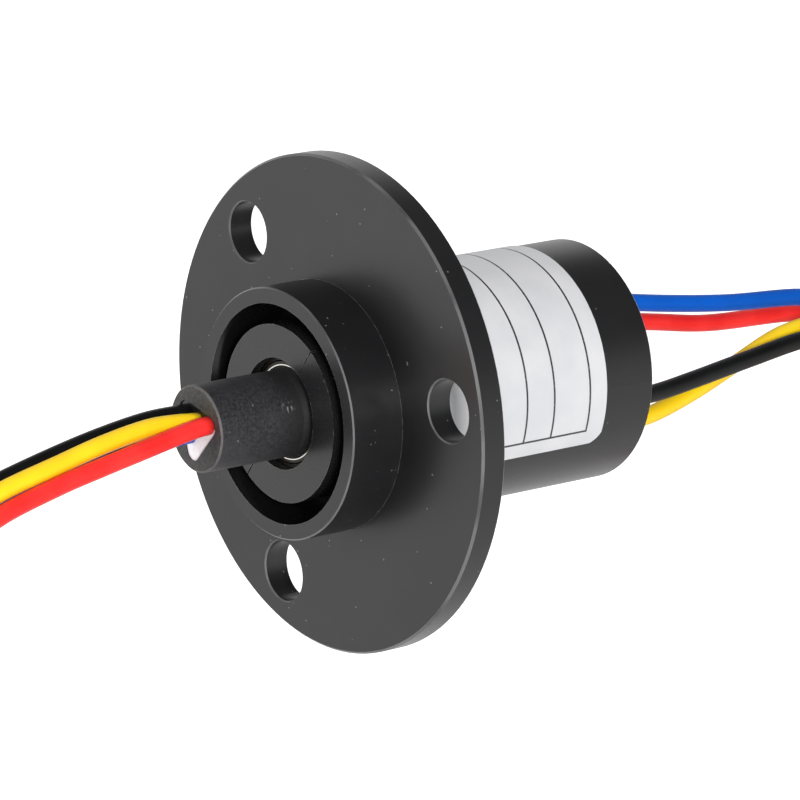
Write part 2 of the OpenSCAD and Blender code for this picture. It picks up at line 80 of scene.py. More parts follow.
def mesh_object(name, bm, smooth=True):
    """A finished piece from a bmesh, with its place in its mesh."""
    mesh = bpy.data.meshes.new(name)
    for face in bm.faces:
        face.smooth = smooth
    bm.to_mesh(mesh)
    bm.free()
    piece = bpy.data.objects.new(name, mesh)
    bpy.context.scene.collection.objects.link(piece)
    return piece


def ring_frames(points):
    """Sections that don't twist along a path: (point, side, other side) for each point."""
    frames = []
    side = None
    for i, point in enumerate(points):
        ahead = (points[min(i + 1, len(points) - 1)] - points[max(i - 1, 0)]).normalized()
        if side is None:
            side = ahead.cross(Vector((1, 0, 0))).normalized()
        side = (side - ahead * side.dot(ahead)).normalized()
        frames.append((point, side, ahead.cross(side)))
    return frames


def swept_tube(name, points, radii, sides=16):
    """A closed round tube along a path, with a UV map: u round it, v along it in metres."""
    bm = bmesh.new()
    uv = bm.loops.layers.uv.new("along")
    rings = []
    for (centre, side, other), r in zip(ring_frames(points), radii):
        rings.append([bm.verts.new(centre + r * (math.cos(t) * side + math.sin(t) * other))
                      for t in (2 * math.pi * k / sides for k in range(sides))])
    travelled = [0.0]
    for a, b in zip(points, points[1:]):
        travelled.append(travelled[-1] + (b - a).length)
    for i in range(len(rings) - 1):
        for k in range(sides):
            n = (k + 1) % sides
            face = bm.faces.new((rings[i][k], rings[i][n], rings[i + 1][n], rings[i + 1][k]))
            corners = ((k, i), (k + 1, i), (k + 1, i + 1), (k, i + 1))
            for loop, (turn, along) in zip(face.loops, corners):
                loop[uv].uv = (turn / sides, travelled[along])
    bm.faces.new(rings[0][::-1])
    bm.faces.new(rings[-1])
    bmesh.ops.recalc_face_normals(bm, faces=bm.faces)
    return mesh_object(name, bm)


# ---------- leads ----------

LEAD_R = 0.825 * MM
ROUTE_STEP = 0.9 * MM                       # between the rings of a lead's mesh
SPAN_STEPS = 12                             # finer steps from which the even ones are taken
STRIPPED = 6 * MM                           # bare tinned end
STRIPPED_INSET = 0.5 * MM                   # its part inside the insulation
CUT_R = 0.97                                # the insulation draws in at its cut end
STRANDS = 6                                 # round a middle one
STRAND_R = 0.19 * MM
STRAND_LAY_R = 0.4 * MM
STRAND_FLARE = 0.05 * MM
STRAND_TURNS, STRAND_TURNS_STEP = 0.24, 0.02    # each lead is twisted a little more than the last

FOLD_R = (8.25, 6.5)                        # outer and inner fold of a hank, mm
FOLD_STEPS = 14
RUN_TOP, RUN_BOTTOM = -17, -50              # ends of a hank's straight runs, z in mm
RUN_STEPS = 12
FREE_END_Z = -20
HANK_Y = {-1: -51.25, 1: 74.25}             # middle of the front and the rear hank, mm

# lead: (its end of the part along Y, its lane across the hank, its route from the potting to the
# hank), in mm
LEADS = {
    "rotor_lead_black": (-1, -2.625, [
        (-1.5, -13.75, 1.13), (-1.5, -14.6, 1.13), (-1.5, -18, 1.08), (-1.55, -22.4, 0.48),
        (-1.65, -27, -0.45), (-1.75, -32.6, -1.82), (-2.1, -36.9, -3.25), (-2.5, -40.4, -6),
        (-2.63, -42.6, -10.2), (-2.63, -43, -15)]),
    "rotor_lead_yellow": (-1, 0.875, [
        (0.12, -13.75, 0.66), (0.12, -14.4, 0.68), (0.18, -16.2, 0.87), (0.3, -19.3, 0.92),
        (0.2, -23.8, 0.2), (0.1, -28.2, -0.84), (0.05, -34, -2.24), (0.2, -37.7, -3.72),
        (0.6, -40.9, -6.7), (0.88, -42.6, -10.8), (0.88, -43, -15)]),
    "rotor_lead_red": (-1, 2.625, [
        (1.78, -13.75, 0.68), (1.78, -14.4, 0.66), (1.82, -16.5, 0.38), (1.8, -20.4, -0.38),
        (1.5, -24.8, -1.35), (1.1, -29, -2.4), (1.1, -34.8, -4), (1.8, -38.4, -5.65),
        (2.35, -41.1, -8.7), (2.63, -42.5, -12), (2.63, -43, -15)]),
    "rotor_lead_blue": (-1, -0.875, [
        (-0.93, -13.75, -0.62), (-0.93, -14.4, -0.62), (-1.1, -18, -1.02), (-1.2, -22.6, -1.93),
        (-1.3, -27, -2.98), (-1.5, -32.9, -4.6), (-1.3, -36.6, -6.4), (-1, -39.8, -9.2),
        (-0.88, -42, -12.5), (-0.88, -43, -15.5)]),
    "stator_lead_blue": (1, -0.875, [
        (-4.06, 28.5, 4.62), (-4.06, 30.5, 4.6), (-3.8, 36, 3.6), (-3.2, 42.5, 2.6),
        (-2.3, 49.5, 1.85), (-1.3, 57.5, 1.45), (-1, 61.8, 0.3), (-0.88, 64.9, -2.8),
        (-0.88, 66, -7.1), (-0.88, 66, -15)]),
    "stator_lead_red": (1, -2.625, [
        (-5.66, 28.5, 2.44), (-5.66, 30.5, 2.42), (-5.2, 36, 1.55), (-4.5, 42.3, 0.6),
        (-3.7, 48.4, -0.2), (-2.9, 58, -0.5), (-2.7, 61.9, -1.7), (-2.63, 64.8, -4.6),
        (-2.63, 66, -8.8), (-2.63, 66, -15)]),
    "stator_lead_black": (1, 2.625, [
        (5.6, 28.5, -2.9), (5.6, 30.5, -2.95), (5.2, 34.1, -3.05), (4.6, 39.1, -2.72),
        (3.75, 47, -2), (3.1, 54.2, -1.4), (2.8, 59.5, -1.7), (2.63, 63.4, -4),
        (2.63, 65.7, -8.2), (2.63, 66, -15)]),
    "stator_lead_yellow": (1, 0.875, [
        (4.2, 28.5, -5.4), (4.2, 30.3, -5.45), (3.8, 34.6, -5.5), (3.1, 40.6, -4.3),
        (1.9, 46.7, -2.85), (1, 53.5, -1.1), (0.88, 60, -0.9), (0.88, 63.9, -3.1),
        (0.88, 65.8, -7.5), (0.88, 66, -15)]),
}


def hank_path(way, lane):
    """The folded rest of a lead, down and up between the folds."""
    middle = HANK_Y[way]
    outer, inner = FOLD_R
    points = []

    def run(u, z_from, z_to):
        points.extend((lane, middle + way * u, z_from + (z_to - z_from) * i / RUN_STEPS)
                      for i in range(RUN_STEPS + 1))

    def fold(r_from, r_to, z, turn):
        """Half a turn below z (turn -1) or above it (turn 1)."""
        for i in range(1, FOLD_STEPS):
            t = math.pi * i / FOLD_STEPS
            r = r_from + (r_to - r_from) * i / FOLD_STEPS
            points.append((lane, middle + way * r * turn * math.cos(t), z + r * turn * math.sin(t)))

    run(-outer, RUN_TOP, RUN_BOTTOM)
    fold(outer, outer, RUN_BOTTOM, turn=-1)
    run(outer, RUN_BOTTOM, RUN_TOP)
    fold(outer, inner, RUN_TOP, turn=1)
    run(-inner, RUN_TOP, RUN_BOTTOM)
    fold(inner, inner, RUN_BOTTOM, turn=-1)
    run(inner, RUN_BOTTOM, FREE_END_Z)
    return [Vector(p) * MM for p in points]


def smooth_path(points, step):
    """A Catmull-Rom curve through the points, in even steps."""
    dense = []
    last = len(points) - 1
    for i in range(last):
        p0, p1, p2, p3 = (points[k] for k in (max(i - 1, 0), i, i + 1, min(i + 2, last)))
        for j in range(SPAN_STEPS):
            t = j / SPAN_STEPS
            dense.append(0.5 * (2 * p1 + (p2 - p0) * t + (2 * p0 - 5 * p1 + 4 * p2 - p3) * t * t
                                + (3 * p1 - p0 - 3 * p2 + p3) * t ** 3))
    dense.append(points[-1])
    even, carried = [dense[0]], 0.0
    for a, b in zip(dense, dense[1:]):
        length = (b - a).length
        while carried + length >= step and length > 0:
            a = a + (b - a) * ((step - carried) / length)
            length = (b - a).length
            even.append(a)
            carried = 0.0
        carried += length
    if (even[-1] - dense[-1]).length > 0.3 * step:
        even.append(dense[-1])
    return even


def new_tree(name, sockets):
    """A Geometry Nodes tree with named inputs.

    Returns the tree, a call that adds a node and gives its outputs, the tree's inputs and the
    socket for its result.
    """
    tree = bpy.data.node_groups.new(name, "GeometryNodeTree")
    for socket, kind, value in sockets:
        item = tree.interface.new_socket(socket, in_out="INPUT", socket_type="NodeSocket" + kind)
        if value is not None:
            item.default_value = value
    tree.interface.new_socket("Geometry", in_out="OUTPUT", socket_type="NodeSocketGeometry")

    def add(kind, inputs=None, **settings):
        node = tree.nodes.new(kind)
        for key, value in settings.items():
            setattr(node, key, value)
        for key, value in (inputs or {}).items():
            if isinstance(value, bpy.types.NodeSocket):
                tree.links.new(value, node.inputs[key])
            else:
                node.inputs[key].default_value = value
        return node.outputs

    given = tree.nodes.new("NodeGroupInput").outputs
    result = tree.nodes.new("NodeGroupOutput").inputs["Geometry"]
    return tree, add, given, result


def grown(tree, name, values, place):
    """The plain mesh that a Geometry Nodes tree makes with these input values, put in its place."""
    host = bpy.data.objects.new(name, bpy.data.meshes.new(name + "_base"))
    bpy.context.scene.collection.objects.link(host)
    modifier = host.modifiers.new("shape", "NODES")
    modifier.node_group = tree
    for item in tree.interface.items_tree:
        if item.in_out == "INPUT" and item.name in values:
            modifier[item.identifier] = values[item.name]
    evaluated = host.evaluated_get(bpy.context.evaluated_depsgraph_get())
    mesh = bpy.data.meshes.new_from_object(evaluated)
    host.modifiers.remove(modifier)
    bpy.data.objects.remove(host)
    mesh.name = name
    mesh.transform(place)
    piece = bpy.data.objects.new(name, mesh)
    bpy.context.scene.collection.objects.link(piece)
    return piece


def make_strand_tree():
    """Bare strands laid round a middle one with a slow twist, along +Z."""
    tree, add, given, result = new_tree("stranded_end", [
        ("Outer Strands", "Int", STRANDS), ("Strand Radius", "Float", STRAND_R),
        ("Lay Radius", "Float", STRAND_LAY_R), ("Flare", "Float", STRAND_FLARE),
        ("Length", "Float", STRIPPED), ("Turns", "Float", STRAND_TURNS),
        ("Material", "Material", None)])
    flared = add("ShaderNodeMath", {0: given["Lay Radius"], 1: given["Flare"]}, operation="ADD")[0]
    helix = add("GeometryNodeCurveSpiral", {
        "Resolution": 24, "Rotations": given["Turns"], "Start Radius": given["Lay Radius"],
        "End Radius": flared, "Height": given["Length"]})[0]
    spots = add("GeometryNodeMeshLine", {"Count": given["Outer Strands"], "Offset": (0, 0, 0)})[0]
    share = add("ShaderNodeMath", {0: 2 * math.pi, 1: given["Outer Strands"]},
                operation="DIVIDE")[0]
    index = add("GeometryNodeInputIndex")[0]
    turn = add("ShaderNodeMath", {0: index, 1: share}, operation="MULTIPLY")[0]
    spin = add("ShaderNodeCombineXYZ", {2: turn})[0]
    outer = add("GeometryNodeInstanceOnPoints",
                {"Points": spots, "Instance": helix, "Rotation": spin})[0]
    end = add("ShaderNodeCombineXYZ", {2: given["Length"]})[0]
    middle = add("GeometryNodeCurvePrimitiveLine", {"End": end})[0]
    lay = tree.nodes.new("GeometryNodeJoinGeometry")
    for part in (middle, add("GeometryNodeRealizeInstances", {0: outer})[0]):
        tree.links.new(part, lay.inputs[0])
    section = add("GeometryNodeCurvePrimitiveCircle",
                  {"Resolution": 10, "Radius": given["Strand Radius"]})[0]
    solid = add("GeometryNodeCurveToMesh",
                {0: lay.outputs[0], "Profile Curve": section, "Fill Caps": True})[0]
    smooth = add("GeometryNodeSetShadeSmooth", {0: solid})[0]
    whole = add("GeometryNodeRealizeInstances", {0: smooth})[0]
    coated = add("GeometryNodeSetMaterial", {0: whole, "Material": given["Material"]})[0]
    tree.links.new(coated, result)
    return tree


STRAND_TREE = make_strand_tree()


def strand_bundle(name, start, heading, twist):
    """The stripped end of a lead, from start along its heading."""
    place = Matrix.Translation(start) @ heading.to_track_quat("Z", "Y").to_matrix().to_4x4()
    sizes = {"Outer Strands": STRANDS, "Strand Radius": STRAND_R, "Lay Radius": STRAND_LAY_R,
             "Flare": STRAND_FLARE, "Length": STRIPPED, "Turns": twist}
    return grown(STRAND_TREE, name, sizes, place)


def lead_slot(node):
    """The material slot of a lead's insulation, by its colour."""
    return "lead_" + node.split("_")[-1]


def make_lead(node):
    """A lead's insulation and its bare strands."""
    way, lane, route = LEADS[node]
    body = "rotor" if way < 0 else "stator"
    points = smooth_path([Vector(p) * MM for p in route] + hank_path(way, lane), ROUTE_STEP)
    radii = [LEAD_R] * (len(points) - 1) + [LEAD_R * CUT_R]
    tube = swept_tube(node + "_insulation", points, radii)
    heading = (points[-1] - points[-3]).normalized()
    twist = STRAND_TURNS + STRAND_TURNS_STEP * list(LEADS).index(node)
    strands_start = points[-1] - heading * STRIPPED_INSET
    strands = strand_bundle(node + "_strands", strands_start, heading, twist)
    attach(tube, body)
    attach(strands, body)
    hank = "rotor_lead_hank" if way < 0 else "stator_lead_hank"
    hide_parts(node, hank)
    return tube, strands


leads = {node: make_lead(node) for node in LEADS}


# ---------- node groups that several finishes use ----------

class Nodes:
    """Short calls for building a node tree."""

    def __init__(self, tree):
        self.tree = tree

    def add(self, kind, **settings):
        node = self.tree.nodes.new(kind)
        for key, value in settings.items():
            setattr(node, key, value)
        return node

    def link(self, source, target):
        self.tree.links.new(source, target)

    def feed(self, target, value):
        """Links a socket to another one, or sets it to a number, a vector or a colour."""
        if isinstance(value, bpy.types.NodeSocket):
            self.link(value, target)
        elif target.type == "RGBA":
            target.default_value = (*value, 1)
        else:
            target.default_value = value

    def math(self, operation, a, b=None, clamp=False):
        node = self.add("ShaderNodeMath", operation=operation, use_clamp=clamp)
        self.feed(node.inputs[0], a)
        if b is not None:
            self.feed(node.inputs[1], b)
        return node.outputs[0]

    def times(self, a, b):
        return self.math("MULTIPLY", a, b)

    def ramp(self, value, low, high, out_low=0.0, out_high=1.0, smooth=True):
        """Goes from out_low to out_high as the value goes from low to high, and stops there."""
        style = "SMOOTHSTEP" if smooth else "LINEAR"
        node = self.add("ShaderNodeMapRange", interpolation_type=style)
        for name, number in (("Value", value), ("From Min", low), ("From Max", high),
                             ("To Min", out_low), ("To Max", out_high)):
            self.feed(node.inputs[name], number)
        return node.outputs["Result"]

    def mix(self, factor, a, b):
        """A colour between a and b. These sockets share their names, so they go by number."""
        node = self.add("ShaderNodeMix", data_type="RGBA")
        for number, value in ((0, factor), (6, a), (7, b)):
            self.feed(node.inputs[number], value)
        return node.outputs[2]

    def noise(self, vector, scale, detail=2.0, roughness=0.5):
        node = self.add("ShaderNodeTexNoise")
        for name, value in (("Vector", vector), ("Scale", scale), ("Detail", detail),
                            ("Roughness", roughness)):
            self.feed(node.inputs[name], value)
        return node.outputs["Fac"]


def group(name, inputs, outputs):
    """A new shader group with named sockets: returns its node calls, its inputs and its results."""
    tree = bpy.data.node_groups.new(name, "ShaderNodeTree")
    for socket, kind, value in inputs:
        item = tree.interface.new_socket(socket, in_out="INPUT", socket_type="NodeSocket" + kind)
        if value is not None:
            item.default_value = value
    for socket, kind in outputs:
        tree.interface.new_socket(socket, in_out="OUTPUT", socket_type="NodeSocket" + kind)
    n = Nodes(tree)
    return n, n.add("NodeGroupInput").outputs, n.add("NodeGroupOutput").inputs


def make_grain_group():
    """Fine pits and a slow cloudiness, as on blasted metal and moulded plastic."""
    n, given, out = group("surface_grain", [("Vector", "Vector", None), ("Grain", "Float", 0.15)],
                          [("Height", "Float"), ("Cloud", "Float"), ("Speckle", "Float")])
    per_metre = n.math("DIVIDE", 1000.0, given["Grain"])
    fine = n.noise(given["Vector"], per_metre, detail=3, roughness=0.65)
    cloud = n.noise(given["Vector"], 160.0, detail=3)
    speckle = n.noise(given["Vector"], n.times(per_metre, 0.55), roughness=0.8)
    n.link(fine, out["Height"])
    n.link(cloud, out["Cloud"])
    n.link(n.ramp(speckle, 0.56, 0.74), out["Speckle"])
    return n.tree


WEAR_REACH = 0.1 * MM                       # from a sharp edge
CHAMFER_NORMAL = 0.707                      # share of a 45 degree chamfer's normal along the axis
CHAMFER_TOLERANCE = 0.08


def make_wear_and_highlight_group():
    """Worn edges where the surface turns within reach, which also carry painted highlights, and
    painted highlights along chamfers, broken up by noise.
    """
    n, given, out = group("edge_wear_and_highlight", [("Vector", "Vector", None), ("Amount", "Float", 1.0),
                                        ("Chamfers", "Float", 1.0), ("Low", "Float", 0.04),
                                        ("High", "Float", 0.3)],
                          [("Edge", "Float")])
    bevel = n.add("ShaderNodeBevel", samples=6)
    bevel.inputs["Radius"].default_value = WEAR_REACH
    geometry = n.add("ShaderNodeNewGeometry").outputs["True Normal"]
    dot = n.add("ShaderNodeVectorMath", operation="DOT_PRODUCT")
    n.link(bevel.outputs["Normal"], dot.inputs[0])
    n.link(geometry, dot.inputs[1])
    turned = n.math("SUBTRACT", 1.0, dot.outputs["Value"])
    parts = n.add("ShaderNodeSeparateXYZ")
    n.link(geometry, parts.inputs[0])
    slope = n.math("SUBTRACT", n.math("ABSOLUTE", parts.outputs[1]), CHAMFER_NORMAL)
    # chamfer faces get a painted highlight
    chamfer = n.math("LESS_THAN", n.math("ABSOLUTE", slope), CHAMFER_TOLERANCE)
    chamfer = n.times(chamfer, given["Chamfers"])
    patchy = n.noise(given["Vector"], 900.0, detail=4, roughness=0.7)
    slow = n.noise(given["Vector"], 170.0)
    # worn edges, lightened further as painted highlights
    edge = n.times(n.ramp(turned, given["Low"], given["High"]), n.ramp(patchy, 0.36, 0.62))
    edge = n.math("MAXIMUM", edge, n.times(chamfer, n.ramp(slow, 0.3, 0.6, 0.35, 1.0)))
    n.link(n.math("MULTIPLY", edge, given["Amount"], clamp=True), out["Edge"])
    return n.tree


DUST_CHANCE = 0.72                          # cells whose number is above this hold a speck


def make_dust_group():
    """Tiny specks of any size up to Size, in about one cell out of four."""
    n, given, out = group("dust_specks", [("Vector", "Vector", None), ("Scale", "Float", 1500.0),
                                          ("Size", "Float", 0.12)], [("Dust", "Float")])
    cells = n.add("ShaderNodeTexVoronoi", feature="F1")
    n.link(given["Vector"], cells.inputs["Vector"])
    n.link(given["Scale"], cells.inputs["Scale"])
    cells.inputs["Randomness"].default_value = 1
    chance = n.add("ShaderNodeSeparateColor")
    n.link(cells.outputs["Color"], chance.inputs[0])
    few = n.math("GREATER_THAN", chance.outputs[0], DUST_CHANCE)
    size = n.times(given["Size"], chance.outputs[1])
    speck = n.math("LESS_THAN", cells.outputs["Distance"], size)
    n.link(n.times(few, speck), out["Dust"])
    return n.tree


def make_axial_group():
    """Where a point lies round the axis: radius and place along it in mm, angle in degrees."""
    n, given, out = group("turned_place", [("Vector", "Vector", None)],
                          [("Radius", "Float"), ("Along", "Float"), ("Angle", "Float")])
    parts = n.add("ShaderNodeSeparateXYZ")
    n.link(given["Vector"], parts.inputs[0])
    x, y, z = parts.outputs
    square = n.math("ADD", n.math("POWER", x, 2.0), n.math("POWER", z, 2.0))
    n.link(n.math("DIVIDE", n.math("SQRT", square), MM), out["Radius"])
    n.link(n.math("DIVIDE", y, MM), out["Along"])
    n.link(n.times(n.math("ARCTAN2", z, x), 180 / math.pi), out["Angle"])
    return n.tree


def make_scuff_group():
    """A small patch of short scratches round a place."""
    n, given, out = group("scuff_patch", [("Vector", "Vector", None),
                                          ("Place", "Vector", (0, 0, 0)),
                                          ("Reach", "Float", 0.9 * MM)], [("Scuff", "Float")])
    away = n.add("ShaderNodeVectorMath", operation="DISTANCE")
    n.link(given["Vector"], away.inputs[0])
    n.link(given["Place"], away.inputs[1])
    near = n.ramp(n.math("DIVIDE", away.outputs["Value"], given["Reach"]), 0.25, 1.0, 1.0, 0.0)
    stretched = n.add("ShaderNodeMapping")
    stretched.inputs["Rotation"].default_value = (0.5, 0.2, 0)
    stretched.inputs["Scale"].default_value = (1, 1, 0.22)
    n.link(given["Vector"], stretched.inputs["Vector"])
    scratches = n.noise(stretched.outputs[0], 5200.0, roughness=0.6)
    n.link(n.times(near, n.ramp(scratches, 0.52, 0.66)), out["Scuff"])
    return n.tree


GRAIN = make_grain_group()
WEAR_AND_HIGHLIGHT = make_wear_and_highlight_group()
DUST = make_dust_group()
AXIAL = make_axial_group()
SCUFF = make_scuff_group()


# ---------- finishes ----------

def new_material(name, metallic=0.0, roughness=0.5, specular=0.5, coat=0.0):
    """A material: returns it, its node calls, its Principled shader and its Object coordinates."""
    material = bpy.data.materials.new(name)
    material.use_nodes = True
    n = Nodes(material.node_tree)
    shader = material.node_tree.nodes["Principled BSDF"]
    shader.inputs["Metallic"].default_value = metallic
    shader.inputs["Roughness"].default_value = roughness
    shader.inputs["Specular IOR Level"].default_value = specular
    shader.inputs["Coat Weight"].default_value = coat
    where = n.add("ShaderNodeTexCoord").outputs["Object"]
    return material, n, shader, where


def use_group(n, tree, **values):
    """The outputs of a group that is fed with these numbers or sockets."""
    node = n.add("ShaderNodeGroup", node_tree=tree)
    for key, value in values.items():
        n.feed(node.inputs[key], value)
    return node.outputs


def bump(n, shader, height, distance):
    """Relief from a height between 0 and 1, with its depth in metres."""
    node = n.add("ShaderNodeBump")
    node.inputs["Distance"].default_value = distance
    n.link(height, node.inputs["Height"])
    n.link(node.outputs["Normal"], shader.inputs["Normal"])


DUST_COLOUR = (0.45, 0.44, 0.42)


def grained_finish(name, colour, dark, worn, grain=0.14, depth=0.004, roughness=(0.42, 0.55),
                   specular=0.5, wear=0.7, chamfers=1.0, dust=0.4, bare=False, speckle=0.25,
                   salt=0.3):
    """A dark satin finish with pits, cloudiness, worn edges, painted highlights on edges and
    chamfers, and a few specks of dust.

    grain and depth are the size and the depth of the pits in mm, salt is the share of the fine
    pattern in the colour, and with bare the worn and highlighted edges are metal.
    """
    material, n, shader, where = new_material(name, specular=specular)
    surface = use_group(n, GRAIN, Vector=where, Grain=grain)
    edge = use_group(n, WEAR_AND_HIGHLIGHT, Vector=where, Amount=wear, Chamfers=chamfers)["Edge"]
    specks = use_group(n, DUST, Vector=where)["Dust"]
    fine = n.times(n.ramp(surface["Height"], 0.32, 0.68), salt)
    slow = n.times(n.ramp(surface["Cloud"], 0.35, 0.65), 1 - salt)
    tone = n.mix(n.math("ADD", fine, slow), dark, colour)
    tone = n.mix(n.times(surface["Speckle"], speckle), tone, worn)
    # the pale edge colour: real wear plus painted highlights on edges and chamfers
    tone = n.mix(edge, tone, worn)
    if bare:
        n.link(edge, shader.inputs["Metallic"])
    tone = n.mix(n.times(specks, dust), tone, DUST_COLOUR)
    n.link(tone, shader.inputs["Base Color"])
    gloss = n.ramp(surface["Height"], 0.3, 0.7, *roughness, smooth=False)
    n.link(gloss, shader.inputs["Roughness"])
    if depth:
        bump(n, shader, surface["Height"], depth * MM)
    return material


def overlay(n, shader, mask, colour=None, roughness=None):
    """Lays a different colour or roughness over a finished shader where the mask is."""
    if colour is not None:
        target = shader.inputs["Base Color"]
        n.link(n.mix(mask, target.links[0].from_socket, colour), target)
    if roughness is not None:
        target = shader.inputs["Roughness"]
        n.link(n.ramp(mask, 0.0, 1.0, target.links[0].from_socket, roughness, smooth=False), target)


def parts_of(material):
    """The node calls, the shader and the Object coordinates of a finished material."""
    tree = material.node_tree
    where = next(node for node in tree.nodes if node.bl_idname == "ShaderNodeTexCoord")
    return Nodes(tree), tree.nodes["Principled BSDF"], where.outputs["Object"]


MOUTH_R, MOUTH_END_Y = 9.79, 2.0            # inside of the boss, mm


def housing_finish():
    """Dark anodised metal, bare at its worn edges, which also carry painted highlights. The boss's
    mouth is smoother and carries painted shade.
    """
    material = grained_finish("housing_metal", (0.0115, 0.0115, 0.0124), (0.009, 0.009, 0.0098),
                              (0.5, 0.5, 0.51), grain=0.16, depth=0.0008, specular=0.4, wear=0.7,
                              chamfers=0.35, bare=True, roughness=(0.28, 0.35), speckle=0.0)
    n, shader, where = parts_of(material)
    place = use_group(n, AXIAL, Vector=where)
    # painted shade inside the boss's mouth, along with a real smoother finish
    mouth = n.times(n.math("LESS_THAN", place["Radius"], MOUTH_R),
                    n.math("LESS_THAN", place["Along"], MOUTH_END_Y))
    overlay(n, shader, mouth, colour=(0.004, 0.004, 0.0042), roughness=0.16)
    return material


def carrier_finish():
    """Smooth dark moulding with rubbed edges that also carry painted highlights."""
    return grained_finish("carrier_plastic", (0.011, 0.011, 0.0118), (0.0095, 0.0095, 0.0102),
                          (0.3, 0.3, 0.3), grain=0.2, depth=0.0, specular=0.44, wear=0.8,
                          chamfers=0.0, dust=0.2, roughness=(0.25, 0.28), speckle=0.0)


TIP_FACE_Y = -13.88                         # what lies in front of it is the stub's cut face, mm
TIP_RIM_R = 3.68
STUB_ROOT_SHADE_Y = (-8.6, -5.6)                  # painted shade darkens the stub over this stretch, mm
STUB_SCUFF = (3.52 * MM, -6.6 * MM, 1.55 * MM)


def shaft_finish():
    """Turned glass-filled plastic: fine grain, worn edges with painted highlights, a paler cut face
    at the tip, painted shade where the stub meets the collar, a scuff on the stub.
    """
    material = grained_finish("shaft_plastic", (0.034, 0.034, 0.038), (0.005, 0.005, 0.006),
                              (0.2, 0.19, 0.18), grain=0.22, depth=0.006, wear=0.9, chamfers=0.4,
                              roughness=(0.42, 0.55), speckle=0.06, salt=0.75)
    n, shader, where = parts_of(material)
    place = use_group(n, AXIAL, Vector=where)
    face = n.math("LESS_THAN", place["Along"], TIP_FACE_Y)
    mottle = n.ramp(n.noise(where, 2600.0, detail=3, roughness=0.7), 0.32, 0.68)
    cut = n.mix(mottle, (0.01, 0.0095, 0.009), (0.038, 0.036, 0.034))
    overlay(n, shader, face, colour=cut, roughness=0.6)
    rim = n.times(face, n.math("GREATER_THAN", place["Radius"], TIP_RIM_R))
    rim = n.times(rim, n.ramp(n.noise(where, 1300.0, detail=3), 0.4, 0.6, 0.0, 0.5))
    overlay(n, shader, rim, colour=(0.26, 0.25, 0.24))
    # painted shade where the stub runs into the collar
    root_shade = n.ramp(place["Along"], *STUB_ROOT_SHADE_Y, 0.0, 0.75)
    overlay(n, shader, root_shade, colour=(0.004, 0.004, 0.0045), roughness=0.6)
    scuff = use_group(n, SCUFF, Vector=where, Place=STUB_SCUFF)["Scuff"]
    overlay(n, shader, n.times(scuff, 0.55), colour=(0.3, 0.29, 0.28))
    return material


BEARING_SHADE_R = (4.2, 4.27)                      # painted shade darkens the bearing rings from here on, mm


def bearing_ring_finish():
    """Ground steel. Only the inner ring's bore side is bare, painted shade darkens the rest."""
    material = metal_finish("bearing_steel", (0.8, 0.77, 0.72), (0.7, 0.67, 0.62), 0.16)
    n, shader, where = parts_of(material)
    place = use_group(n, AXIAL, Vector=where)
    # painted shade over the rings beyond the inner ring's bore side
    bearing_shade = n.ramp(place["Radius"], *BEARING_SHADE_R)
    overlay(n, shader, bearing_shade, colour=(0.03, 0.027, 0.024), roughness=0.3)
    return material


def insulation_finish(name, colour, deep, gloss=0.45, coat=0.12):
    """Soft extruded insulation of a slightly uneven colour, with faint draw marks along it."""
    material, n, shader, where = new_material(name, roughness=0.38, specular=gloss, coat=coat)
    shader.inputs["Coat Roughness"].default_value = 0.25
    uv = n.add("ShaderNodeUVMap", uv_map="along").outputs[0]
    stretched = n.add("ShaderNodeMapping")
    stretched.inputs["Scale"].default_value = (18, 60, 1)
    n.link(uv, stretched.inputs["Vector"])
    marks = n.noise(stretched.outputs[0], 1.0, detail=3)
    cloud = n.noise(where, 260.0, detail=3)
    n.link(n.mix(n.ramp(cloud, 0.3, 0.7), deep, colour), shader.inputs["Base Color"])
    n.link(n.ramp(marks, 0.2, 0.8, 0.32, 0.48), shader.inputs["Roughness"])
    bump(n, shader, marks, 0.006 * MM)
    return material


def metal_finish(name, colour, shade, roughness, marks_per_mm=9.0):
    """Bare metal with turning marks round the axis of rotation."""
    material, n, shader, where = new_material(name, metallic=1.0, roughness=roughness)
    place = use_group(n, AXIAL, Vector=where)
    combined = n.add("ShaderNodeCombineXYZ")
    n.link(place["Radius"], combined.inputs[0])
    n.link(place["Along"], combined.inputs[1])
    marks = n.noise(combined.outputs[0], marks_per_mm)
    n.link(n.mix(n.ramp(marks, 0.3, 0.7), shade, colour), shader.inputs["Base Color"])
    n.link(n.ramp(marks, 0.2, 0.8, roughness * 0.8, roughness * 1.3), shader.inputs["Roughness"])
    bump(n, shader, marks, 0.002 * MM)
    return material


LABEL_R = 11.1
LABEL_LINE = 0.1                            # half width of a printed line, mm
LABEL_LINES_Y = (14.0, 17.1, 21.2)          # two dividers and the frame's rear line
LABEL_FRAME_ANGLES = (-18.7, 198.7)         # the frame's two long lines


